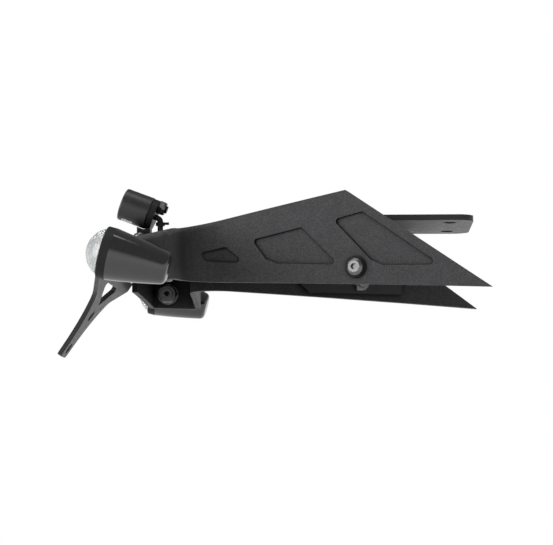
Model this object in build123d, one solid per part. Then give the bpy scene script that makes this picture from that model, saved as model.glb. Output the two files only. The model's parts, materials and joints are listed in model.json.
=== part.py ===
"""Tail tidy: moulded shell on a folded mounting bracket, with two indicators,
a plate light and a forked number-plate bracket.

Millimetres, +X forward, +Y to the left, +Z up.
The origin is the centre of the four mounting holes, on the bracket's top face.
"""
import os
from math import asin, cos, radians, sin, sqrt, tan

from build123d import *

# Main shell, plan
shell_wall = 3.0
shell_half_width = 61.45
side_angle = 18.4
shell_front = 45.0
flare_radius = 16.0
arm_front = -118.0
arm_sweep = 2.0
arm_rear = -150.0
arm_half_span = 100.0
arm_inner_radius = 2.0
rear_bow = 4.0
rear_bow_half_width = 40.0
rear_bow_radius = 60.0

# Main shell, side view: the roof and the lower edge are gently arched across the part
roof_height = 20.9
roof_angle = 12.46
roof_crown_radius = 500.0
roof_edge_radius = 2.6
lower_edge_height = -37.0
lower_edge_angle = -1.67
lower_edge_crown_radius = 852.0
mouth_foot = -19.2
mouth_angle = 35.5

# Pockets in the side panels, corners as x and z
pocket_depth = 1.2
pocket_corner_radius = 1.8
pocket_corners = [
    [(-110.5, -19.2), (-97.0, -16.0), (-85.8, -25.0), (-107.5, -23.6)],
    [(-83.0, -13.0), (-57.0, -7.5), (-37.4, -27.6), (-69.6, -25.8), (-75.5, -23.4)],
    [(-40.8, -4.4), (-25.7, -0.7), (13.6, -29.4), (-15.1, -28.6), (-21.4, -25.7)],
]

# Mounting bracket
sheet = 3.0
hole_spacing_x = 40.0
hole_spacing_y = 40.0
mount_hole_radius = 3.3
tongue_front = 32.0
tongue_half_width = 32.0
tongue_corner_radius = 8.0
bracket_rear = -64.0
flange_setback = 6.0
flange_front = -4.0
flange_bottom = -34.5
flange_rear_chamfer = 9.0

# Side bolts, M5
side_bolt_x = -29.0
side_bolt_z = -29.0
bolt_radius = 2.5
bolt_head_radius = 4.75
bolt_head_height = 2.75
bolt_socket = 3.0
bolt_socket_depth = 1.6
bolt_end = 1.5
clearance_hole_radius = 2.75
washer_radius = 5.5
washer_thickness = 1.0
nut_across_flats = 8.0
nut_height = 4.7

# Number-plate bracket
plate_sheet = 2.5
plate_seat = -22.5
plate_flange_front = -126.0
plate_bend = -154.9
plate_bend_radius = 5.0
plate_angle = 55.6
plate_half_width = 41.5
wing_half_width = 60.0
wing_top = 4.5
wing_bottom = 9.6
wing_corner_radius = 2.0
waist_half_width = 24.0
waist = 21.1
waist_radius = 20.0
stem_half_width = 9.5
stem_top = 37.6
stem_radius = 40.0
plate_tip_half_width = 8.0
plate_length = 58.1
plate_corner_radius = 2.5
window_half_width = 23.5
window_top = 11.8
window_height = 12.8
window_corner_radius = 1.5
plate_hole_radius = 3.2
plate_hole_first = 31.6
plate_hole_pitch = 21.0
plate_bolt_x = -134.0
plate_bolt_y = 30.0
boss_radius = 6.5
insert_radius = 3.6
insert_length = 8.0
notch_clearance = 1.0

# Indicators, measured from the rim along the axis
rim_x = -149.8
indicator_standoff = 17.0
indicator_drop = 5.3
indicator_tilt = 15.0
rim_radius = 12.7
bezel_length = 4.5
bezel_wall = 1.1
bezel_edge_radius = 0.65
housing_length = 33.0
housing_middle = 18.0
housing_bulge = 0.31053
housing_end_radius = 7.4
housing_edge_radius = 3.0
housing_wall = 2.0
lens_rise = 7.8
lens_wall = 1.5
board_thickness = 1.2
board_depth = 1.6
board_ledge = 0.3
lamp_count = 6
lamp_ring_radius = 6.4
lamp_size = 2.8
lamp_height = 1.0
stud_station = 11.2
stud_radius = 3.0
stud_bore = 1.5
stud_depth = 4.0
stud_end = 1.6
indicator_boss_radius = 6.5
gasket_radius = 7.6
gasket_thickness = 1.6
stud_washer_radius = 6.0
stud_washer_thickness = 1.2
stud_nut_across_flats = 10.0
stud_nut_height = 5.0

# Plate light, measured from the rear face along the axis
light_x = -154.3
light_z = 10.5
light_tilt = 20.5
barrel_radius = 8.7
barrel_length = 16.0
barrel_wall = 1.6
barrel_edge_radius = 0.9
light_window_start = 2.4
light_window_length = 6.6
light_window_width = 8.0
light_board_height = 2.4
light_board_gap = 1.2
cap_plug = 2.5
light_stud_radius = 2.0
light_stud_rise = 5.0
light_stud_end = 1.0
tab_thickness = 3.2
tab_radius = 8.4
tab_toe_rise = 1.0
light_nut_across_flats = 7.0
light_nut_height = 3.6
foot_rear = -153.0
foot_half_width = 13.0
foot_thickness = 2.0
foot_corner_radius = 3.0
pillar_half_width = 5.0
pillar_rear = -146.0
pillar_gap = 0.6
foot_bolt_x = -143.5
foot_bolt_y = 9.2
foot_bolt_radius = 2.0
foot_bolt_head_radius = 3.5
foot_bolt_head_height = 2.6
foot_nut_across_flats = 7.0
foot_nut_height = 3.2

# Lead from the plate light
lead_radius = 1.5
lead_reach = 2.4
lead_drop = 0.8
lead_bends = [2.2, 3.0, 8.0]
lead_below_roof = 8.6
lead_run_in = 14.0
grommet_hole_radius = 3.1
grommet_lip_radius = 4.2
grommet_lip = 1.0
grommet_gap = 0.5
connector_rear = -104.0
connector_length = 18.0
connector_half_width = 5.0
connector_height = 7.0
connector_edge_radius = 1.0
tie_drop = 3.6
tie_thickness = 0.9
tie_width = 1.8
tie_tail = 4.9
tie_tail_width = 1.3

# Proportions of nuts and of domed bolt heads, as shares of their own radius and height
nut_cone_foot = 1.25
nut_cone_top = 0.93
head_crown = 0.62
head_rim = 0.2
head_shoulder = (0.88, 0.68)

# Fits
slip = 0.05
fit = 0.1

# Values that follow from those above
side_slope = tan(radians(side_angle))
arm_corner_radius = arm_inner_radius + shell_wall
arm_end_sag = roof_crown_radius - sqrt(roof_crown_radius ** 2 - arm_half_span ** 2)
rim_y = arm_half_span + indicator_standoff
rim_z = roof_height + rim_x * tan(radians(roof_angle)) - arm_end_sag - indicator_drop
grommet_x = light_x + (barrel_length + tab_thickness) * cos(radians(light_tilt)) + lead_reach
foot_front = grommet_x - grommet_lip_radius - grommet_gap
reach = 2 * (shell_front - arm_rear)


def side_y(x, inset=0.0):
    """Half width of the straight side at x, moved in by inset."""
    return shell_half_width + side_slope * x - inset / cos(radians(side_angle))


def roof_z(x):
    """Height of the roof's outer face along the middle."""
    return roof_height + x * tan(radians(roof_angle))


def mirror_y(solid):
    """The same piece on the other side of the part."""
    return mirror(solid, about=Plane.XZ)


def prism_xz(points, half_width):
    """Prism across the part from a side outline."""
    face = make_face(Polyline([(x, 0, z) for x, z in points], close=True))
    return extrude(face, amount=half_width, dir=(0, 1, 0), both=True)


def round_corners(face, points, radius):
    """Round the corners of a flat face that lie at the points."""
    for x, y in points:
        corner = face.vertices().sort_by_distance((x, y, 0))[0]
        face = fillet(corner, radius)
    return face


def hex_nut(across_flats, height, bore):
    """Hexagon nut, seat at z = 0, with rounded-off top corners."""
    body = extrude(RegularPolygon(across_flats / 2, 6, major_radius=False), height)
    half = across_flats / 2
    from_seat = (Align.CENTER, Align.CENTER, Align.MIN)
    cone = Cone(half * nut_cone_foot, half * nut_cone_top, height, align=from_seat)
    return (body & cone) - Cylinder(bore, 4 * height)


def ring(outer, inner, height):
    """Flat ring, lower face at z = 0."""
    return extrude(Circle(outer) - Circle(inner), height)


def button_bolt(radius, length, head_radius, head_height, socket, socket_depth):
    """Domed bolt, seat of the head at z = 0 and shank downwards."""
    crown = head_radius * head_crown
    rim = (head_radius, head_height * head_rim)
    shoulder = (head_radius * head_shoulder[0], head_height * head_shoulder[1])
    profile = make_face([
        Polyline((0, head_height), (0, 0), (head_radius, 0), rim),
        ThreePointArc(rim, shoulder, (crown, head_height)),
        Line((crown, head_height), (0, head_height)),
    ])
    head = revolve(Plane.XZ * profile, Axis.Z)
    shank = Pos(0, 0, -length) * extrude(Circle(radius), length)
    key = extrude(RegularPolygon(socket / 2, 6, major_radius=False), socket_depth)
    return head + shank - Pos(0, 0, head_height - socket_depth) * key


def m5_bolt(length):
    """Domed bolt of the size that the side panels and the number-plate bracket share."""
    return button_bolt(
        bolt_radius, length, bolt_head_radius, bolt_head_height, bolt_socket, bolt_socket_depth)


# Main shell


def plan_outline(inset):
    """Plan outline of the shell with its two arms, moved in by inset."""
    half = [
        (shell_front, side_y(shell_front)),
        (arm_front, side_y(arm_front)),
        (arm_front - arm_sweep, arm_half_span),
        (arm_rear, arm_half_span),
        (arm_rear - rear_bow, rear_bow_half_width),
    ]
    corners = half + [(x, -y) for x, y in reversed(half)]
    face = make_face(Polyline(corners, close=True))
    radii = [flare_radius, arm_corner_radius, arm_corner_radius, rear_bow_radius]
    for (x, y), radius in zip(half[1:], radii):
        face = round_corners(face, [(x, y), (x, -y)], radius)
    if inset:
        face = offset(face, amount=-inset, kind=Kind.INTERSECTION)
    return face


def plan_prism(inset):
    """Tall prism of the plan outline."""
    return Pos(0, 0, -reach / 4) * extrude(plan_outline(inset), reach / 2)


def arched_block(height, angle, crown_radius, depth):
    """Long block with one side arched across the part, reaching from the arch by depth."""
    tilt = radians(angle)
    start = arm_rear - reach / 4
    frame = Plane((start, 0, height + start * tan(tilt)), x_dir=(0, 1, 0), z_dir=(cos(tilt), 0, sin(tilt)))
    edge = arm_half_span + flare_radius
    drop = crown_radius - sqrt(crown_radius ** 2 - edge ** 2)
    face = make_face([
        ThreePointArc((-edge, -drop), (0, 0), (edge, -drop)),
        Polyline((edge, -drop), (edge, depth), (-edge, depth), (-edge, -drop)),
    ])
    return extrude(frame * face, amount=reach)


def under_roof(inset):
    """All that lies below the roof, moved down by inset."""
    height = roof_height - inset / cos(radians(roof_angle))
    return arched_block(height, roof_angle, roof_crown_radius - inset, -reach)


def mouth_prism(setback):
    """All that lies in front of the slanting mouth, moved back by setback."""
    foot = mouth_foot - setback / sin(radians(mouth_angle))
    run = reach / tan(radians(mouth_angle))
    return prism_xz([(foot + run, -reach), (foot - run, reach), (foot + run, reach)], reach)


def pocket_prism(corners):
    """Side outline of one pocket, across the part."""
    face = make_face(Polyline(corners, close=True))
    face = round_corners(face, corners, pocket_corner_radius)
    return extrude(Plane.XZ * face, amount=reach, both=True)


def roof_frame(x):
    """Plane on the roof's middle line, with its normal out of the roof."""
    tilt = radians(roof_angle)
    return Plane((x, 0, roof_z(x)), x_dir=(cos(tilt), 0, sin(tilt)), z_dir=(-sin(tilt), 0, cos(tilt)))


def side_frame():
    """Plane on the left side panel at the side bolt, with its normal out of the panel."""
    turn = radians(side_angle)
    origin = (side_bolt_x, side_y(side_bolt_x), side_bolt_z)
    return Plane(origin, x_dir=(cos(turn), sin(turn), 0), z_dir=(-sin(turn), cos(turn), 0))


def on_both_sides(solid):
    """A piece and its mirror image, as one group."""
    return [solid, mirror_y(solid)]


def stud_axis(y):
    """Plane on the left indicator's stud at y, with its normal outwards."""
    tilt = radians(indicator_tilt)
    x = rim_x + stud_station * cos(tilt)
    z = rim_z - stud_station * sin(tilt)
    return Plane((x, y, z), x_dir=(1, 0, 0), z_dir=(0, 1, 0))


def foot_bolt_frame():
    """Plane on the roof at the left foot bolt, level with the roof's middle line."""
    along = (foot_bolt_x - foot_rear) / cos(radians(roof_angle))
    return roof_frame(foot_rear) * Pos(along, foot_bolt_y, 0)


def make_main_shell():
    lower_edge = arched_block(lower_edge_height, lower_edge_angle, lower_edge_crown_radius, reach)
    outer = plan_prism(0) & under_roof(0) & lower_edge
    roof = outer.faces().sort_by(Axis.Z)[-1]
    outer = fillet(roof.edges().sort_by(Axis.X)[:-1], roof_edge_radius)
    shell = outer - (plan_prism(shell_wall) & under_roof(shell_wall))
    pocket_floor = plan_prism(pocket_depth)
    for corners in pocket_corners:
        shell -= pocket_prism(corners) - pocket_floor
    shell -= mouth_prism(0)
    # Notch in the rear wall, through which the number-plate bracket passes
    notch_half = plate_half_width + notch_clearance
    notch_top = plate_seat + notch_clearance
    notch = Box(4 * shell_wall, 2 * notch_half, reach, align=(Align.CENTER, Align.CENTER, Align.MAX))
    shell -= Pos(arm_rear - rear_bow, 0, notch_top) * notch
    # Bosses that hang from the roof
    boss = Pos(plate_bolt_x, plate_bolt_y, plate_seat) * extrude(Circle(boss_radius), reach / 4)
    boss &= under_roof(shell_wall / 2)
    bore = Pos(plate_bolt_x, plate_bolt_y, plate_seat) * extrude(Circle(insert_radius), insert_length)
    side_hole = side_frame() * Cylinder(clearance_hole_radius, 4 * shell_wall)
    stud_hole = stud_axis(arm_half_span) * Cylinder(stud_radius + fit, 4 * shell_wall)
    foot_hole = Plane(foot_bolt_frame()) * Cylinder(foot_bolt_radius + fit, 4 * shell_wall)
    for solid in on_both_sides(boss):
        shell += solid
    for cutter in (bore, side_hole, stud_hole, foot_hole):
        for solid in on_both_sides(cutter):
            shell -= solid
    shell -= roof_frame(grommet_x) * Cylinder(grommet_hole_radius, 4 * shell_wall)
    return shell


# Mounting bracket


def between_sides(inset):
    """Tall block between the straight sides, moved in by inset."""
    rear, front = bracket_rear, flange_front
    face = make_face(Polyline(
        (rear, side_y(rear, inset)), (front, side_y(front, inset)),
        (front, -side_y(front, inset)), (rear, -side_y(rear, inset)), close=True))
    return Pos(0, 0, -reach / 4) * extrude(face, reach / 2)


def make_mounting_bracket():
    inside = between_sides(shell_wall)
    tongue_length = tongue_front - bracket_rear
    tongue = Rectangle(tongue_length, 2 * tongue_half_width)
    tongue = Pos((tongue_front + bracket_rear) / 2, 0) * tongue
    tongue = round_corners(
        tongue,
        [(tongue_front, tongue_half_width), (tongue_front, -tongue_half_width)],
        tongue_corner_radius)
    plate = Pos(0, 0, -sheet) * extrude(tongue, sheet)
    flange_outline = prism_xz([
        (bracket_rear, 0), (flange_front, 0), (flange_front, flange_bottom),
        (bracket_rear + flange_rear_chamfer, flange_bottom),
        (bracket_rear, flange_bottom + flange_rear_chamfer)], reach)
    flange_outline -= mouth_prism(flange_setback)
    web = Pos(0, 0, -sheet) * extrude(Rectangle(reach, reach), sheet)
    web = web & inside & flange_outline
    flanges = (inside - between_sides(shell_wall + sheet)) & flange_outline
    bracket = plate + web + flanges
    for x in (-hole_spacing_x / 2, hole_spacing_x / 2):
        for y in (-hole_spacing_y / 2, hole_spacing_y / 2):
            bracket -= Pos(x, y, 0) * Cylinder(mount_hole_radius, 4 * sheet)
    for hole in on_both_sides(side_frame() * Cylinder(clearance_hole_radius, 8 * sheet)):
        bracket -= hole
    return bracket


# Side fasteners


def make_side_bolts():
    length = washer_thickness + shell_wall + sheet + nut_height + bolt_end
    return on_both_sides(side_frame() * Pos(0, 0, washer_thickness) * m5_bolt(length))


def make_side_washers():
    return on_both_sides(side_frame() * ring(washer_radius, clearance_hole_radius, washer_thickness))


def make_side_nuts():
    nut = hex_nut(nut_across_flats, nut_height, bolt_radius + slip)
    seat = Pos(0, 0, -shell_wall - sheet) * Rot(180, 0, 0)
    return on_both_sides(side_frame() * seat * nut)


# Number-plate bracket


def plate_frame():
    """Plane of the sloping part's upper face at the bend: x across, y up the slope."""
    tilt = radians(plate_angle)
    return Plane(
        (plate_bend, 0, plate_seat),
        x_dir=(0, -1, 0),
        z_dir=(-sin(tilt), 0, cos(tilt)))


def make_number_plate_bracket():
    tilt = radians(plate_angle)
    tip = (plate_bend - plate_length * cos(tilt), plate_seat - plate_length * sin(tilt))
    centre_line = FilletPolyline(
        (plate_flange_front, 0, plate_seat), (plate_bend, 0, plate_seat), (tip[0], 0, tip[1]),
        radius=plate_bend_radius)
    strip = make_face(offset(centre_line, amount=plate_sheet, side=Side.RIGHT))
    folded = extrude(strip, amount=wing_half_width, dir=(0, 1, 0), both=True)
    # Outline of the sloping part: wings behind the rear wall that sweep into a narrow stem
    half = [
        (plate_half_width, reach),
        (plate_half_width, -wing_top),
        (wing_half_width, -wing_top),
        (wing_half_width, -wing_bottom),
        (waist_half_width, -waist),
        (stem_half_width, -stem_top),
        (plate_tip_half_width, -plate_length),
    ]
    radii = [wing_corner_radius] * 3 + [waist_radius, stem_radius, plate_corner_radius]
    corners = half + [(-x, y) for x, y in reversed(half)]
    outline = make_face(Polyline(corners, close=True))
    for (x, y), radius in zip(half[1:], radii):
        outline = round_corners(outline, [(x, y), (-x, y)], radius)
    # Window between the wings
    window = [
        (window_half_width, -window_top),
        (-window_half_width, -window_top),
        (0, -window_top - window_height),
    ]
    outline -= round_corners(make_face(Polyline(window, close=True)), window, window_corner_radius)
    for step in range(2):
        outline -= Pos(0, -plate_hole_first - step * plate_hole_pitch) * Circle(plate_hole_radius)
    trim = extrude(plate_frame() * outline, amount=reach, both=True)
    bracket = folded & trim
    bolt_hole = Cylinder(clearance_hole_radius, 4 * plate_sheet)
    for hole in on_both_sides(Pos(plate_bolt_x, plate_bolt_y, plate_seat) * bolt_hole):
        bracket -= hole
    return bracket


def plate_bolt_seat(depth):
    """Place at the left plate bolt, below the bracket by depth, facing down."""
    return Pos(plate_bolt_x, plate_bolt_y, plate_seat - plate_sheet - depth) * Rot(180, 0, 0)


def make_plate_bracket_bolts():
    length = washer_thickness + plate_sheet + insert_length - bolt_end
    return on_both_sides(plate_bolt_seat(washer_thickness) * m5_bolt(length))


def make_plate_bracket_washers():
    return on_both_sides(plate_bolt_seat(0) * ring(washer_radius, clearance_hole_radius, washer_thickness))


def make_plate_bracket_inserts():
    insert = ring(insert_radius, bolt_radius + slip, insert_length)
    return on_both_sides(Pos(plate_bolt_x, plate_bolt_y, plate_seat) * insert)


# Indicators, made on the left


def indicator_frame():
    """Plane at the rim of the left indicator, with its normal along the axis, forward and down."""
    tilt = radians(indicator_tilt)
    return Plane((rim_x, rim_y, rim_z), x_dir=(0, 1, 0), z_dir=(cos(tilt), 0, -sin(tilt)))


def turned(curves):
    """Solid of revolution about z from curves in radius and height."""
    return revolve(Plane.XZ * make_face(curves), Axis.Z)


def housing_solid(inset):
    """Tapered body of the indicator, moved in by inset."""
    rim = rim_radius - inset
    end = housing_end_radius - inset
    far = housing_length - inset
    taper = (rim_radius - housing_end_radius) / (housing_length - bezel_length)
    middle = rim_radius - taper * (housing_middle - bezel_length) + housing_bulge - inset
    body = turned([
        Polyline((rim, bezel_length), (0, bezel_length), (0, far), (end, far)),
        ThreePointArc((end, far), (middle, housing_middle), (rim, bezel_length)),
    ])
    return body


def make_indicator_housing():
    body = housing_solid(0)
    end_edge = body.edges().filter_by(GeomType.CIRCLE).sort_by(Axis.Z)[-1]
    body = fillet(end_edge, housing_edge_radius)
    board_seat = extrude(Circle(board_radius() + fit), board_depth)
    hollow = indicator_frame() * (housing_solid(housing_wall) + Pos(0, 0, bezel_length) * board_seat)
    body = indicator_frame() * body - hollow
    boss_start = arm_half_span + gasket_thickness
    boss_length = rim_y - boss_start
    boss = stud_axis(boss_start) * extrude(Circle(indicator_boss_radius), boss_length)
    boss = boss - hollow - indicator_frame() * Cylinder(rim_radius + fit, 2 * bezel_length)
    socket = stud_axis(boss_start) * extrude(Circle(stud_radius + slip), stud_depth)
    return body + boss - socket


def board_radius():
    """Radius of the light board, which drops into the mouth of the housing."""
    return rim_radius - housing_wall + board_ledge


def make_indicator_bezel():
    band = ring(rim_radius, rim_radius - bezel_wall, bezel_length)
    outer_edge = band.edges().sort_by(Axis.Z)[0:2].sort_by(SortBy.RADIUS)[-1]
    return indicator_frame() * fillet(outer_edge, bezel_edge_radius)


def lens_cap(radius, rise):
    """Domed solid with its skirt, standing on the housing."""
    sphere = (radius ** 2 + rise ** 2) / (2 * rise)
    half = asin(radius / sphere) / 2
    return turned([
        Line((0, bezel_length), (radius, bezel_length)),
        Line((radius, bezel_length), (radius, 0)),
        ThreePointArc((radius, 0), (sphere * sin(half), -rise + sphere * (1 - cos(half))), (0, -rise)),
        Line((0, -rise), (0, bezel_length)),
    ])


def make_indicator_lens():
    radius = rim_radius - bezel_wall - fit
    shell = lens_cap(radius, lens_rise) - lens_cap(radius - lens_wall, lens_rise - lens_wall)
    return indicator_frame() * shell


def make_indicator_board():
    disc = extrude(Circle(board_radius()), board_thickness)
    return indicator_frame() * Pos(0, 0, bezel_length + board_depth - board_thickness) * disc


def make_indicator_lamps():
    lamp = Box(lamp_size, lamp_size, lamp_height, align=(Align.CENTER, Align.CENTER, Align.MAX))
    face = indicator_frame() * Pos(0, 0, bezel_length + board_depth - board_thickness)
    places = PolarLocations(lamp_ring_radius, lamp_count)
    return [face * place * lamp for place in places]


def make_indicator_gasket():
    return stud_axis(arm_half_span) * ring(gasket_radius, stud_radius + fit, gasket_thickness)


def make_indicator_stud():
    inner_end = arm_half_span - shell_wall - stud_washer_thickness - stud_nut_height - stud_end
    length = arm_half_span + gasket_thickness + stud_depth - inner_end
    return stud_axis(inner_end) * ring(stud_radius, stud_bore, length)


def make_indicator_washer():
    seat = arm_half_span - shell_wall - stud_washer_thickness
    return stud_axis(seat) * ring(stud_washer_radius, stud_radius + fit, stud_washer_thickness)


def make_indicator_nut():
    seat = arm_half_span - shell_wall - stud_washer_thickness
    nut = hex_nut(stud_nut_across_flats, stud_nut_height, stud_radius + slip)
    return stud_axis(seat) * Rot(180, 0, 0) * nut


# Plate light


def light_frame(station=0.0):
    """Plane across the barrel at a station from its rear face; its y axis points up."""
    tilt = radians(light_tilt)
    origin = (light_x + station * cos(tilt), 0, light_z - station * sin(tilt))
    return Plane(origin, x_dir=(0, 1, 0), z_dir=(cos(tilt), 0, -sin(tilt)))


def window_block(margin):
    """Block through the underside of the barrel, smaller by margin on each edge."""
    block = Box(
        light_window_width - 2 * margin, 2 * barrel_radius, light_window_length - 2 * margin,
        align=(Align.CENTER, Align.MAX, Align.MIN))
    return Pos(0, 0, light_window_start + margin) * block


def make_plate_light_barrel():
    barrel = extrude(Circle(barrel_radius), barrel_length)
    barrel = fillet(barrel.edges().filter_by(GeomType.CIRCLE), barrel_edge_radius)
    cavity = Pos(0, 0, barrel_wall) * extrude(Circle(barrel_radius - barrel_wall), barrel_length)
    return light_frame() * (barrel - cavity - window_block(0))


def make_plate_light_lens():
    tube = extrude(Circle(barrel_radius) - Circle(barrel_radius - barrel_wall), barrel_length)
    return light_frame() * (tube & window_block(fit))


def make_plate_light_board():
    radius = barrel_radius - barrel_wall - slip
    start = barrel_wall + slip
    length = barrel_length - cap_plug - light_board_gap - start
    disc = Pos(0, 0, start) * extrude(Circle(radius), length)
    slab = Pos(0, light_board_height, 0) * Box(2 * radius, board_thickness, 2 * barrel_length)
    return light_frame() * (disc & slab)


def make_plate_light_end_cap():
    plug = extrude(Circle(barrel_radius - barrel_wall - slip), cap_plug)
    stud_length = cap_plug + tab_thickness + light_nut_height + light_stud_end
    stud = Pos(0, light_stud_rise) * extrude(Circle(light_stud_radius), stud_length)
    cap = plug + stud - Pos(0, -lead_drop) * Cylinder(lead_radius + fit, 4 * cap_plug)
    return light_frame(barrel_length - cap_plug) * cap


def make_plate_light_bracket():
    tilt = radians(light_tilt)
    foot = roof_frame(foot_rear) * foot_plate()
    front_face = light_frame(barrel_length + tab_thickness).origin
    below = tab_radius - tab_toe_rise
    tab_toe = (front_face.X - below * sin(tilt), front_face.Z - below * cos(tilt))
    rear_face = light_frame(barrel_length).origin
    clear = barrel_radius + pillar_gap
    throat = (rear_face.X - clear * sin(tilt), rear_face.Z - clear * cos(tilt))
    back = (pillar_rear, throat[1] + (throat[0] - pillar_rear) * tan(tilt))
    pillar = prism_xz([
        (pillar_rear, roof_z(pillar_rear)), back, throat, tab_toe,
        (foot_front, roof_z(foot_front))], pillar_half_width)
    pillar -= foot_clearance()
    tab = light_frame(barrel_length) * extrude(Circle(tab_radius), tab_thickness)
    bracket = foot + pillar + tab
    holes = Pos(0, light_stud_rise) * Cylinder(light_stud_radius + fit, 4 * tab_thickness)
    holes += Pos(0, -lead_drop) * Cylinder(lead_radius + fit, 4 * tab_thickness)
    bracket -= light_frame(barrel_length) * holes
    bolt_hole = Cylinder(foot_bolt_radius + fit, 8 * foot_thickness)
    for hole in on_both_sides(Plane(foot_bolt_frame()) * bolt_hole):
        bracket -= hole
    return bracket


def foot_plate():
    """Flat foot, lying along the roof from its rear edge."""
    length = (foot_front - foot_rear) / cos(radians(roof_angle))
    plate = RectangleRounded(length, 2 * foot_half_width, foot_corner_radius)
    return extrude(Pos(length / 2, 0) * plate, foot_thickness)


def foot_clearance():
    """All that lies below the flat underside of the foot."""
    return roof_frame(foot_rear) * Box(reach, reach, reach, align=(Align.CENTER, Align.CENTER, Align.MAX))


def make_plate_light_nut():
    nut = hex_nut(light_nut_across_flats, light_nut_height, light_stud_radius + slip)
    return light_frame(barrel_length + tab_thickness) * Pos(0, light_stud_rise) * nut


def make_foot_bolts():
    length = foot_thickness + shell_wall + foot_nut_height + bolt_end
    bolt = button_bolt(
        foot_bolt_radius, length, foot_bolt_head_radius, foot_bolt_head_height,
        foot_bolt_radius, foot_bolt_head_height / 2)
    return on_both_sides(Plane(foot_bolt_frame()) * Pos(0, 0, foot_thickness) * bolt)


def make_foot_nuts():
    sag = foot_bolt_reach() ** 2 / (2 * roof_crown_radius)
    nut = hex_nut(foot_nut_across_flats, foot_nut_height, foot_bolt_radius + slip)
    seat = Pos(0, 0, -shell_wall - sag - slip) * Rot(180, 0, 0)
    return on_both_sides(Plane(foot_bolt_frame()) * seat * nut)


def foot_bolt_reach():
    """Distance of the foot nut's outer corner from the part's middle."""
    return foot_bolt_y + foot_nut_across_flats / sqrt(3)


# Lead


def lead_start():
    """Point inside the plate light where its lead begins."""
    return (light_frame(barrel_length - cap_plug) * Pos(0, -lead_drop, 0)).position


def lead_turn():
    """Point above the grommet where the lead turns down."""
    start = lead_start()
    return Vector(grommet_x, 0, start.Z - (grommet_x - start.X) * tan(radians(light_tilt)))


def make_plate_light_lead():
    foot = (grommet_x, 0, roof_z(grommet_x) - lead_below_roof)
    run_in = (connector_frame() * Pos(-lead_run_in, 0, -connector_height / 2)).position
    end = (connector_frame() * Pos(0, 0, -connector_height / 2)).position
    path = FilletPolyline(lead_start(), lead_turn(), foot, run_in, end, radius=lead_bends)
    section = Plane(origin=path @ 0, z_dir=path % 0) * Circle(lead_radius)
    return sweep(section, path=path)


def connector_frame():
    """Place on the roof's inner face at the rear of the lead's connector."""
    return roof_frame(connector_rear) * Pos(0, 0, -shell_wall - 2 * slip)


def make_lead_connector():
    block = Box(
        connector_length, 2 * connector_half_width, connector_height,
        align=(Align.MIN, Align.CENTER, Align.MAX))
    block = fillet(block.edges().filter_by(Axis.X), connector_edge_radius)
    return Plane(connector_frame()) * block


def make_lead_grommet():
    height = shell_wall + 2 * grommet_lip
    body = Pos(0, 0, -shell_wall - grommet_lip) * extrude(Circle(grommet_lip_radius), height)
    groove = ring(2 * grommet_lip_radius, grommet_hole_radius - slip, shell_wall + 2 * slip)
    body -= Pos(0, 0, -shell_wall - 2 * slip) * groove
    lead_hole = Pos(grommet_x, 0, roof_z(grommet_x)) * Cylinder(lead_radius + fit, 8 * shell_wall)
    return roof_frame(grommet_x) * body - lead_hole


def make_cable_tie():
    loop = ring(lead_radius + slip + tie_thickness, lead_radius + slip, tie_width)
    head_size = tie_width + tie_thickness
    head_start = lead_radius + slip
    head = Pos(0, -head_start, tie_width / 2) * Box(
        head_size, tie_width, head_size, align=(Align.CENTER, Align.MAX, Align.CENTER))
    tail = Pos(0, -head_start - tie_width / 2, tie_width / 2) * Box(
        tie_tail, tie_thickness, tie_tail_width, align=(Align.MIN, Align.CENTER, Align.CENTER))
    return Pos(lead_turn()) * Pos(0, 0, -tie_drop) * (loop + head + tail)


# Write one file for each piece


def write(name, solids):
    if not isinstance(solids, list):
        solids = [solids]
    pieces = [solid for part in solids for solid in part.solids()]
    shape = pieces[0] if len(pieces) == 1 else Compound(children=pieces)
    export_step(shape, os.path.join("parts", name + ".step"))


def main():
    os.makedirs("parts", exist_ok=True)
    singles = {
        "main_shell": make_main_shell,
        "mounting_bracket": make_mounting_bracket,
        "side_bolts": make_side_bolts,
        "side_washers": make_side_washers,
        "side_nuts": make_side_nuts,
        "number_plate_bracket": make_number_plate_bracket,
        "plate_bracket_bolts": make_plate_bracket_bolts,
        "plate_bracket_washers": make_plate_bracket_washers,
        "plate_bracket_inserts": make_plate_bracket_inserts,
        "plate_light_barrel": make_plate_light_barrel,
        "plate_light_lens": make_plate_light_lens,
        "plate_light_board": make_plate_light_board,
        "plate_light_end_cap": make_plate_light_end_cap,
        "plate_light_bracket": make_plate_light_bracket,
        "plate_light_nut": make_plate_light_nut,
        "foot_bolts": make_foot_bolts,
        "foot_nuts": make_foot_nuts,
        "plate_light_lead": make_plate_light_lead,
        "lead_grommet": make_lead_grommet,
        "lead_connector": make_lead_connector,
        "cable_tie": make_cable_tie,
    }
    for name, make in singles.items():
        write(name, make())
    pairs = {
        "housing": make_indicator_housing,
        "bezel": make_indicator_bezel,
        "lens": make_indicator_lens,
        "board": make_indicator_board,
        "lamps": make_indicator_lamps,
        "gasket": make_indicator_gasket,
        "stud": make_indicator_stud,
        "washer": make_indicator_washer,
        "nut": make_indicator_nut,
    }
    for name, make in pairs.items():
        left = make()
        left = left if isinstance(left, list) else [left]
        write("left_indicator_" + name, left)
        write("right_indicator_" + name, [mirror_y(solid) for solid in left])


main()
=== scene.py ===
import json
from math import cos, pi, sin

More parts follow.
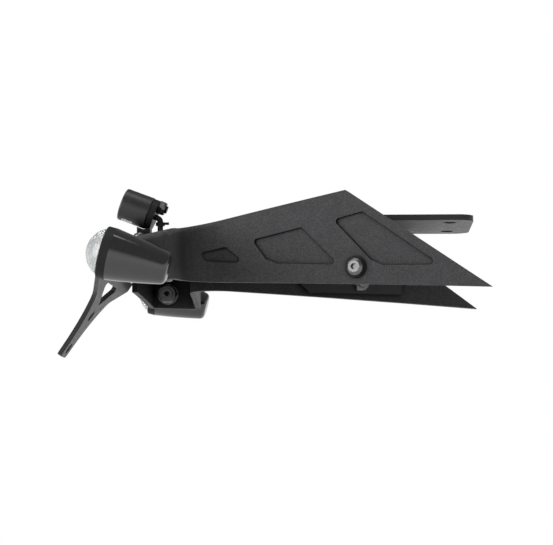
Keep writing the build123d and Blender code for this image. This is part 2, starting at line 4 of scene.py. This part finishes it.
import bmesh
import bpy
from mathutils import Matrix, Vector


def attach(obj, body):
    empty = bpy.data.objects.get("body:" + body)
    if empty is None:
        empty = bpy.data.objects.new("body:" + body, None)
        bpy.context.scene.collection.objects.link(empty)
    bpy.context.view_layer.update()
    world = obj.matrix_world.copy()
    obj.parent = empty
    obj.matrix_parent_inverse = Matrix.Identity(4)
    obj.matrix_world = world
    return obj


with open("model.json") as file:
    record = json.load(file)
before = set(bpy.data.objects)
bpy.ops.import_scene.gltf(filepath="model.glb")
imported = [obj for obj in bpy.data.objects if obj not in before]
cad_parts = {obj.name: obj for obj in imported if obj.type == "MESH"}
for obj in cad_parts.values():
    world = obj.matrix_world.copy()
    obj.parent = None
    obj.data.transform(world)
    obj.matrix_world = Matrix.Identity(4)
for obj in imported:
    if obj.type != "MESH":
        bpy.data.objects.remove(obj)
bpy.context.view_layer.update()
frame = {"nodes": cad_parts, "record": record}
nodes = frame["nodes"]
scene = bpy.context.scene

mm_per_metre = 1000.0


# Shader nodes


def spread(tree, value, start, end, low, high):
    """A value mapped from one range to another."""
    node = tree.nodes.new("ShaderNodeMapRange")
    node.inputs["From Min"].default_value = start
    node.inputs["From Max"].default_value = end
    node.inputs["To Min"].default_value = low
    node.inputs["To Max"].default_value = high
    tree.links.new(value, node.inputs["Value"])
    return node.outputs["Result"]


def larger(tree, first, second):
    """The larger of two values."""
    node = tree.nodes.new("ShaderNodeMath")
    node.operation = "MAXIMUM"
    tree.links.new(first, node.inputs[0])
    tree.links.new(second, node.inputs[1])
    return node.outputs["Value"]


# Materials

# The range in which most of a noise texture's values lie
noise_low = 0.3
noise_high = 0.7
# Samples of the ambient occlusion that places the painted shade
occlusion_samples = 8


class Shader:
    """A Principled material whose textures lie in the part's own frame, in metres."""

    def __init__(self, name, colour, roughness, metallic=0.0):
        self.material = bpy.data.materials.new(name)
        self.material.use_nodes = True
        self.tree = self.material.node_tree
        self.bsdf = self.tree.nodes["Principled BSDF"]
        self.colour = colour
        self.bsdf.inputs["Base Color"].default_value = (*colour, 1)
        self.bsdf.inputs["Roughness"].default_value = roughness
        self.bsdf.inputs["Metallic"].default_value = metallic
        self.place = self.add("ShaderNodeTexCoord").outputs["Object"]
        self.normal = None

    def add(self, kind, **values):
        """Make a node and set its properties."""
        node = self.tree.nodes.new(kind)
        for key, value in values.items():
            setattr(node, key, value)
        return node

    def link(self, output, socket):
        """Join an output to an input."""
        self.tree.links.new(output, socket)

    def set(self, **values):
        """Set inputs by name, with underscores for spaces."""
        for key, value in values.items():
            self.bsdf.inputs[key.replace("_", " ")].default_value = value

    def noise(self, size_mm, detail, stretch=None):
        """Noise with features of the given size; stretch lengthens them along an axis."""
        node = self.add("ShaderNodeTexNoise")
        node.inputs["Scale"].default_value = mm_per_metre / size_mm
        node.inputs["Detail"].default_value = detail
        place = self.place
        if stretch:
            mapping = self.add("ShaderNodeMapping")
            mapping.inputs["Scale"].default_value = stretch
            self.link(place, mapping.inputs["Vector"])
            place = mapping.outputs["Vector"]
        self.link(place, node.inputs["Vector"])
        return node.outputs["Fac"]

    def tint(self, factor, low, high):
        """Vary the colour between two shares of it."""
        ramp = self.add("ShaderNodeValToRGB")
        dark, light = ramp.color_ramp.elements
        dark.position = noise_low
        light.position = noise_high
        dark.color = (*[c * low for c in self.colour], 1)
        light.color = (*[min(1.0, c * high) for c in self.colour], 1)
        self.link(factor, ramp.inputs["Fac"])
        self.link(ramp.outputs["Color"], self.bsdf.inputs["Base Color"])

    def polish(self, factor, low, high):
        """Vary the roughness between two values."""
        roughness = spread(self.tree, factor, noise_low, noise_high, low, high)
        self.link(roughness, self.bsdf.inputs["Roughness"])

    def bump(self, factor, depth_mm):
        """Raise the surface by a texture, on top of earlier ones."""
        node = self.add("ShaderNodeBump")
        node.inputs["Strength"].default_value = 1.0
        node.inputs["Distance"].default_value = depth_mm / mm_per_metre
        self.link(factor, node.inputs["Height"])
        if self.normal:
            self.link(self.normal, node.inputs["Normal"])
        self.normal = node.outputs["Normal"]
        self.link(self.normal, self.bsdf.inputs["Normal"])

    def shade(self, factor, start, end, low, high):
        """Scale the tinted colour by a factor spread from one range to another."""
        level = spread(self.tree, factor, start, end, low, high)
        scaled = self.add("ShaderNodeVectorMath", operation="SCALE")
        socket = self.bsdf.inputs["Base Color"]
        self.link(socket.links[0].from_socket, scaled.inputs[0])
        self.link(level, scaled.inputs["Scale"])
        self.link(scaled.outputs["Vector"], socket)

    def painted_shade(self, reach_mm, share, shut, clear):
        """Painted shade: deepen the colour to a share of it where the surface is shut in, found by
        ambient occlusion.
        """
        open_sky = self.add("ShaderNodeAmbientOcclusion", samples=occlusion_samples)
        open_sky.inputs["Distance"].default_value = reach_mm / mm_per_metre
        self.shade(open_sky.outputs["AO"], shut, clear, share, 1.0)


def grained_plastic(name, colour, roughness, grain_mm, depth_mm):
    """Moulded plastic with an even, eroded grain, and painted shade in its hollows and along its
    steps.
    """
    look = Shader(name, colour, roughness)
    look.set(Specular_IOR_Level=0.12)
    grain = look.noise(grain_mm, detail=2.0)
    look.tint(look.noise(9.0, detail=4.0), 0.94, 1.06)
    look.shade(grain, noise_low, noise_high, 0.72, 1.28)
    # Painted shade: darker colour inside the shell and other wide hollows, where shade falls
    look.painted_shade(reach_mm=60.0, share=0.3, shut=0.35, clear=0.85)
    # Painted shade: a narrow dark band at the foot of steps such as the pocket edges
    look.painted_shade(reach_mm=4.0, share=0.4, shut=0.5, clear=0.95)
    look.polish(look.noise(3.0, detail=2.0), roughness - 0.05, roughness + 0.06)
    look.bump(grain, depth_mm)
    return look.material


def gloss_plastic(name, colour, roughness, mirror):
    """Polished moulding with a trace of flow and handling marks."""
    look = Shader(name, colour, roughness)
    look.set(Specular_IOR_Level=mirror)
    look.tint(look.noise(6.0, detail=3.0), 0.85, 1.15)
    look.polish(look.noise(4.0, detail=5.0), roughness - 0.03, roughness + 0.05)
    look.bump(look.noise(5.0, detail=1.0), 0.02)
    return look.material


def powder_coat(name, colour, roughness):
    """Baked powder coat with orange peel."""
    look = Shader(name, colour, roughness)
    look.set(Specular_IOR_Level=0.3)
    look.tint(look.noise(12.0, detail=3.0), 0.9, 1.1)
    look.polish(look.noise(2.0, detail=2.0), roughness - 0.05, roughness + 0.07)
    look.bump(look.noise(0.9, detail=1.5), 0.03)
    return look.material


def bright_steel(name, colour, roughness):
    """Turned or rolled steel with fine drawn lines."""
    look = Shader(name, colour, roughness, metallic=1.0)
    look.tint(look.noise(2.0, detail=3.0), 0.85, 1.1)
    drawn = look.noise(0.5, detail=3.0, stretch=(1.0, 0.15, 1.0))
    look.polish(drawn, roughness - 0.08, roughness + 0.12)
    look.bump(look.noise(0.3, detail=2.0, stretch=(1.0, 0.1, 1.0)), 0.004)
    return look.material


def matt_rubber(name, colour):
    """Moulded rubber with a dull bloom."""
    look = Shader(name, colour, roughness=0.75)
    look.tint(look.noise(4.0, detail=4.0), 0.8, 1.4)
    look.polish(look.noise(1.2, detail=3.0), 0.62, 0.85)
    look.bump(look.noise(0.35, detail=2.0), 0.02)
    return look.material


def clear_plastic(name):
    """Clear moulding with fine flutes."""
    look = Shader(name, (0.8, 0.81, 0.82), roughness=0.12)
    look.set(Transmission_Weight=0.7, IOR=1.49)
    look.polish(look.noise(3.0, detail=2.0), 0.1, 0.18)
    flutes = look.add("ShaderNodeTexWave", bands_direction="Y")
    flutes.inputs["Scale"].default_value = 160.0
    look.link(look.place, flutes.inputs["Vector"])
    look.bump(flutes.outputs["Fac"], 0.06)
    return look.material


def circuit_board(name):
    """Lacquered board with copper traces under the lacquer."""
    look = Shader(name, (0.02, 0.15, 0.06), roughness=0.3)
    traces = look.add("ShaderNodeTexBrick")
    traces.inputs["Scale"].default_value = 260.0
    traces.inputs["Color1"].default_value = (0.02, 0.15, 0.06, 1)
    traces.inputs["Color2"].default_value = (0.03, 0.19, 0.08, 1)
    traces.inputs["Mortar"].default_value = (0.28, 0.3, 0.1, 1)
    traces.inputs["Mortar Size"].default_value = 0.012
    look.link(look.place, traces.inputs["Vector"])
    look.link(traces.outputs["Color"], look.bsdf.inputs["Base Color"])
    look.bump(traces.outputs["Fac"], 0.03)
    return look.material


def lamp_resin(name):
    """Milky yellow lamp under clear resin."""
    look = Shader(name, (0.9, 0.66, 0.2), roughness=0.2)
    look.tint(look.noise(1.2, detail=2.0), 0.8, 1.1)
    look.polish(look.noise(0.8, detail=2.0), 0.12, 0.3)
    return look.material


def turned_brass(name):
    """Brass with fine marks of turning."""
    look = Shader(name, (0.72, 0.52, 0.2), roughness=0.3, metallic=1.0)
    look.tint(look.noise(1.5, detail=3.0), 0.8, 1.1)
    look.polish(look.noise(0.4, detail=3.0), 0.22, 0.42)
    look.bump(look.noise(0.25, detail=2.0), 0.01)
    return look.material


jet = (0.012, 0.012, 0.012)
black = (0.016, 0.016, 0.017)
soft_black = (0.018, 0.018, 0.019)
looks = {
    "shell_plastic": grained_plastic(
        "shell_grain", (0.046, 0.046, 0.048), roughness=0.5, grain_mm=0.8, depth_mm=0.05),
    "bracket_steel": powder_coat("bracket_coat", soft_black, roughness=0.4),
    "plate_bracket_steel": powder_coat("plate_bracket_coat", black, roughness=0.42),
    "stainless_steel": bright_steel("stainless", (0.17, 0.17, 0.174), roughness=0.34),
    "washer_nylon": grained_plastic(
        "washer_black", jet, roughness=0.45, grain_mm=0.4, depth_mm=0.015),
    "insert_brass": turned_brass("brass"),
    "light_barrel": gloss_plastic(
        "barrel_gloss", (0.012, 0.012, 0.013), roughness=0.34, mirror=0.6),
    "light_cap": grained_plastic(
        "cap_black", (0.016, 0.016, 0.016), roughness=0.35, grain_mm=0.5, depth_mm=0.02),
    "light_bracket": grained_plastic(
        "light_bracket_black", black, roughness=0.38, grain_mm=0.5, depth_mm=0.02),
    "clear_lens": clear_plastic("light_lens_clear"),
    "circuit_board": circuit_board("board_green"),
    "indicator_housing": gloss_plastic(
        "housing_gloss", (0.01, 0.01, 0.011), roughness=0.1, mirror=1.0),
    "indicator_bezel": grained_plastic(
        "bezel_black", soft_black, roughness=0.5, grain_mm=0.4, depth_mm=0.015),
    "indicator_lens": clear_plastic("indicator_lens_clear"),
    "lamp_resin": lamp_resin("lamp_yellow"),
    "soft_rubber": matt_rubber("rubber_black", (0.014, 0.014, 0.014)),
    "lead_sleeve": matt_rubber("lead_black", jet),
    "connector_nylon": grained_plastic(
        "nylon_black", black, roughness=0.4, grain_mm=0.4, depth_mm=0.012),
}
for subpart in frame["record"]["subparts"]:
    slots = nodes[subpart["node"]].data.materials
    look = looks[subpart["material_slot"]]
    if len(slots) == 0:
        slots.append(look)
    for index in range(len(slots)):
        slots[index] = look


# Threads on the free ends of the bolts and studs

steps_in_turn = 28
run_out_steps = 8
same_plane = 1e-5
# Shares of the pitch
end_gap = 0.3
ridge_height = 0.13
ridge_half_width = 0.36
ridge_root_depth = 0.02


def screw_thread(name, node, slot, away, side, radius, pitch, length):
    """Helical ridge from the tip back, on a node's bolt on one side, or its only stud at side 0."""
    away = Vector(away).normalized()
    points = [v.co for v in nodes[node].data.vertices if v.co.y * side >= 0]
    tip_reach = max(p.dot(away) for p in points)
    ring = [p for p in points if tip_reach - p.dot(away) < same_plane]
    tip = sum(ring, Vector()) / len(ring)
    across = away.orthogonal().normalized()
    beside = away.cross(across)
    root_radius = radius - ridge_root_depth * pitch
    flank = away * ridge_half_width * pitch
    count = int(steps_in_turn * (length / pitch - 2 * end_gap))
    mesh = bmesh.new()
    rows = []
    for step in range(count + 1):
        turn = 2 * pi * step / steps_in_turn
        outward = across * cos(turn) + beside * sin(turn)
        run_out = min(1.0, step / run_out_steps, (count - step) / run_out_steps)
        rise = ridge_height * pitch * run_out
        middle = tip - away * pitch * (end_gap + step / steps_in_turn)
        rows.append([
            mesh.verts.new(middle + outward * root_radius + flank),
            mesh.verts.new(middle + outward * (radius + rise)),
            mesh.verts.new(middle + outward * root_radius - flank),
        ])
    for low, high in zip(rows, rows[1:]):
        for a, b in ((0, 1), (1, 2), (2, 0)):
            mesh.faces.new((low[a], low[b], high[b], high[a]))
    mesh.faces.new(rows[0])
    mesh.faces.new(rows[-1])
    bmesh.ops.recalc_face_normals(mesh, faces=mesh.faces)
    data = bpy.data.meshes.new(name)
    mesh.to_mesh(data)
    mesh.free()
    data.materials.append(looks[slot])
    piece = bpy.data.objects.new(name, data)
    scene.collection.objects.link(piece)
    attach(piece, "root")


steel = "stainless_steel"
foot_axis = (0.2158, 0, -0.9764)
light_axis = (0.9367, 0, -0.3502)
for hand, side in (("left", 1), ("right", -1)):
    screw_thread(
        f"{hand}_side_bolt_thread", "side_bolts", steel, (0.3156, -0.9489 * side, 0), side,
        radius=0.0025, pitch=0.0008, length=0.0014)
    screw_thread(
        f"{hand}_stud_thread", f"{hand}_indicator_stud", steel, (0, -side, 0), side,
        radius=0.003, pitch=0.001, length=0.0015)
    screw_thread(
        f"{hand}_foot_bolt_thread", "foot_bolts", steel, foot_axis, side,
        radius=0.002, pitch=0.0007, length=0.0012)
screw_thread(
    "light_stud_thread", "plate_light_end_cap", "light_cap", light_axis, 0,
    radius=0.002, pitch=0.0007, length=0.00095)


# Studio

part_middle = Vector((-0.0716, 0.0, -0.0269))
floor_half_width = 12.0
floor_height = -0.5


def seen(tree):
    """One for rays that show the studio: straight, reflected or through clear plastic."""
    path = tree.nodes.new("ShaderNodeLightPath")
    share = larger(tree, path.outputs["Is Camera Ray"], path.outputs["Is Glossy Ray"])
    return larger(tree, share, path.outputs["Is Transmission Ray"])


def floor_material():
    """Pale floor with a shadow below the part, white further off and clear from below."""
    look = Shader("floor_pale", (0.62, 0.62, 0.62), roughness=0.9)
    look.tint(look.noise(400.0, detail=2.0), 0.98, 1.02)
    distance = look.add("ShaderNodeVectorMath", operation="LENGTH")
    look.link(look.place, distance.inputs[0])
    fade = spread(look.tree, distance.outputs["Value"], 0.2, 1.8, 0.6, 1.0)
    share = look.add("ShaderNodeMath", operation="MULTIPLY")
    look.link(seen(look.tree), share.inputs[0])
    look.link(fade, share.inputs[1])
    white = look.add("ShaderNodeEmission")
    white.inputs["Color"].default_value = (1, 1, 1, 1)
    above = look.add("ShaderNodeMixShader")
    look.link(share.outputs["Value"], above.inputs["Fac"])
    look.link(look.bsdf.outputs["BSDF"], above.inputs[1])
    look.link(white.outputs["Emission"], above.inputs[2])
    sheer = look.add("ShaderNodeBsdfTransparent")
    both = look.add("ShaderNodeMixShader")
    look.link(look.add("ShaderNodeNewGeometry").outputs["Backfacing"], both.inputs["Fac"])
    look.link(above.outputs["Shader"], both.inputs[1])
    look.link(sheer.outputs["BSDF"], both.inputs[2])
    look.link(both.outputs["Shader"], look.tree.nodes["Material Output"].inputs["Surface"])
    return look.material


def studio_world():
    """White backdrop that reflects and lights with a darker ceiling."""
    world = bpy.data.worlds.new("studio")
    world.use_nodes = True
    tree = world.node_tree
    background = tree.nodes["Background"]
    direction = tree.nodes.new("ShaderNodeTexCoord").outputs["Generated"]
    height = tree.nodes.new("ShaderNodeSeparateXYZ")
    tree.links.new(direction, height.inputs["Vector"])
    ceiling = spread(tree, height.outputs["Z"], 0.05, 0.3, 1.0, 0.22)
    straight = tree.nodes.new("ShaderNodeLightPath").outputs["Is Camera Ray"]
    tree.links.new(larger(tree, straight, ceiling), background.inputs["Color"])
    strength = spread(tree, seen(tree), 0.0, 1.0, 0.45, 1.0)
    tree.links.new(strength, background.inputs["Strength"])
    return world


def face_part(thing):
    """Turn a lamp or camera towards the part."""
    thing.rotation_euler = (part_middle - thing.location).to_track_quat("-Z", "Y").to_euler()


def area_light(name, place, size, power, mirrored):
    """Soft square lamp that faces the part, and shows in gloss only if mirrored."""
    data = bpy.data.lights.new(name, "AREA")
    data.shape = "SQUARE"
    data.size = size
    data.energy = power
    lamp = bpy.data.objects.new(name, data)
    lamp.location = place
    face_part(lamp)
    lamp.visible_glossy = mirrored
    scene.collection.objects.link(lamp)


floor_mesh = bpy.data.meshes.new("floor")
floor_corners = [
    (x * floor_half_width, y * floor_half_width, 0)
    for x, y in ((-1, -1), (1, -1), (1, 1), (-1, 1))
]
floor_mesh.from_pydata(floor_corners, [], [(0, 1, 2, 3)])
floor = bpy.data.objects.new("floor", floor_mesh)
floor.location.z = floor_height
floor_mesh.materials.append(floor_material())
scene.collection.objects.link(floor)

scene.world = studio_world()
area_light("key", (-1.5, -1.0, 0.4), size=1.4, power=28.0, mirrored=True)
area_light("fill", (0.1, -1.4, 0.8), size=0.9, power=8.0, mirrored=False)
area_light("top", (-0.3, -0.2, 1.6), size=1.2, power=9.0, mirrored=True)
area_light("back", (-0.4, 1.4, 0.9), size=0.9, power=11.0, mirrored=False)
area_light("front", (1.4, 0.9, 0.4), size=1.0, power=16.0, mirrored=False)

camera_data = bpy.data.cameras.new("camera")
camera_data.sensor_width = 36.0
camera_data.lens = 132.5
camera_data.clip_start = 0.01
camera = bpy.data.objects.new("camera", camera_data)
camera.location = (-0.0243, -1.08, -0.1281)
face_part(camera)
scene.collection.objects.link(camera)
scene.camera = camera
scene.view_settings.view_transform = "Standard"
